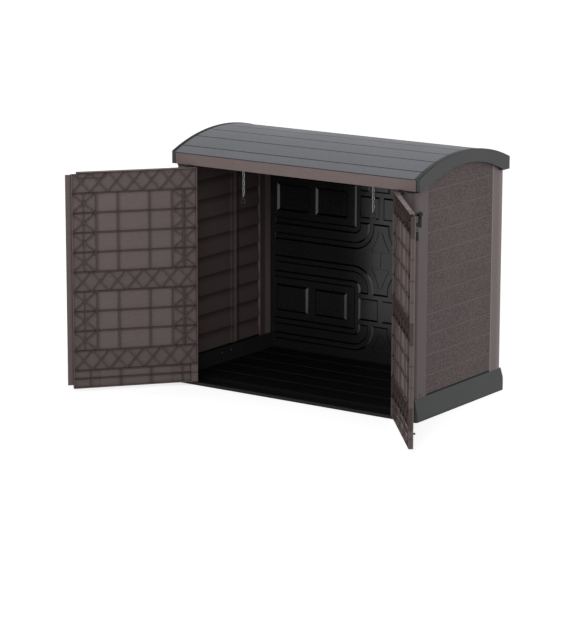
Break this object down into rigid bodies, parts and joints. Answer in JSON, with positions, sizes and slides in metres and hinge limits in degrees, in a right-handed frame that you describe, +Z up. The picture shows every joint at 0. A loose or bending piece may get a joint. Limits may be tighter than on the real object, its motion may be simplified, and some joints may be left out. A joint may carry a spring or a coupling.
{
  "type": "storage shed",
  "caption": "Low garden storage shed with an arched lid that lifts, hinged front doors with lattice bracing, plank walls and an embossed back wall.",
  "frame": {"origin": "on the ground, under the middle of the base", "axes": "+X to the right seen from the front, -Y to the front, +Z up; doors stored standing open, lid closed"},
  "size_m": [2.0012, 1.317, 1.2565],
  "materials": {
    "brown_plastic": "moulded, fine satin grain",
    "plank_plastic": "moulded wood-grain planks",
    "roof_plastic": "moulded, light grain",
    "grey_plastic": "moulded, satin",
    "black_plastic": "moulded, satin black",
    "zinc_steel": "zinc plated",
    "black_screw": "black coated"
  },
  "bodies": {
    "cabinet": {"floor_panel": "black_plastic", "threshold": "black_plastic", "base_skirt_left": "grey_plastic", "base_skirt_right": "grey_plastic", "base_skirt_rear": "grey_plastic", "side_wall_left": "plank_plastic", "side_wall_right": "plank_plastic", "front_column_left": "brown_plastic", "front_column_right": "brown_plastic", "rear_post_left": "brown_plastic", "rear_post_right": "brown_plastic", "back_panel_lower": "black_plastic", "back_panel_upper": "black_plastic", "door_brackets_top": "black_plastic", "door_brackets_bottom": "black_plastic", "door_pivot_pins": "zinc_steel", "lid_hinge_fixed_leaves": "black_plastic", "lid_hinge_pins": "zinc_steel", "upstand_screws": "zinc_steel", "column_screws": "black_screw"},
    "lid": {"lid_shell": "roof_plastic", "lid_fascia_front": "brown_plastic", "lid_fascia_rear": "brown_plastic", "lid_end_cap_left": "grey_plastic", "lid_end_cap_right": "grey_plastic", "lid_hinge_moving_leaves": "black_plastic", "chain_eyelets": "zinc_steel"},
    "door_left": {"door_panel_left": "brown_plastic", "bolt_guides_left": "black_plastic"},
    "door_right": {"door_panel_right": "brown_plastic", "bolt_guides_right": "black_plastic", "latch_plate": "grey_plastic"},
    "bolt_left": {"bolt_left": "grey_plastic"},
    "bolt_right": {"bolt_right": "grey_plastic"},
    "latch": {"latch_handle": "black_plastic", "latch_cam": "black_plastic"},
    "chain_left": {"chain_left": "zinc_steel", "chain_hook_left": "black_plastic"},
    "chain_right": {"chain_right": "zinc_steel", "chain_hook_right": "black_plastic"}
  },
  "joints": [
    {"name": "door_left_hinge", "type": "hinge", "parent": "cabinet", "child": "door_left", "pos_m": [-0.616, -0.406, 0.5], "axis": [0, 0, -1], "range_deg": [-130, 30]},
    {"name": "door_right_hinge", "type": "hinge", "parent": "cabinet", "child": "door_right", "pos_m": [0.616, -0.406, 0.5], "axis": [0, 0, 1], "range_deg": [-130, 30]},
    {"name": "lid_hinge", "type": "hinge", "parent": "cabinet", "child": "lid", "pos_m": [0, 0.411, 1.103], "axis": [-1, 0, 0], "range_deg": [0, 70]},
    {"name": "bolt_left_slide", "type": "slide", "parent": "door_left", "child": "bolt_left", "axis": [0, 0, -1], "range_m": [0, 0.02]},
    {"name": "bolt_right_slide", "type": "slide", "parent": "door_right", "child": "bolt_right", "axis": [0, 0, -1], "range_m": [0, 0.02]},
    {"name": "latch_turn", "type": "hinge", "parent": "door_right", "child": "latch", "pos_m": [0.93053, -0.80262, 1.043], "axis": [0.766, 0.6428, 0], "range_deg": [0, 90]},
    {"name": "chain_left_swing", "type": "hinge", "parent": "lid", "child": "chain_left", "pos_m": [-0.38, -0.282, 1.20195], "axis": [1, 0, 0], "range_deg": [-15, 60]},
    {"name": "chain_right_swing", "type": "hinge", "parent": "lid", "child": "chain_right", "pos_m": [0.38, -0.282, 1.20195], "axis": [1, 0, 0], "range_deg": [-15, 60]}
  ]
}
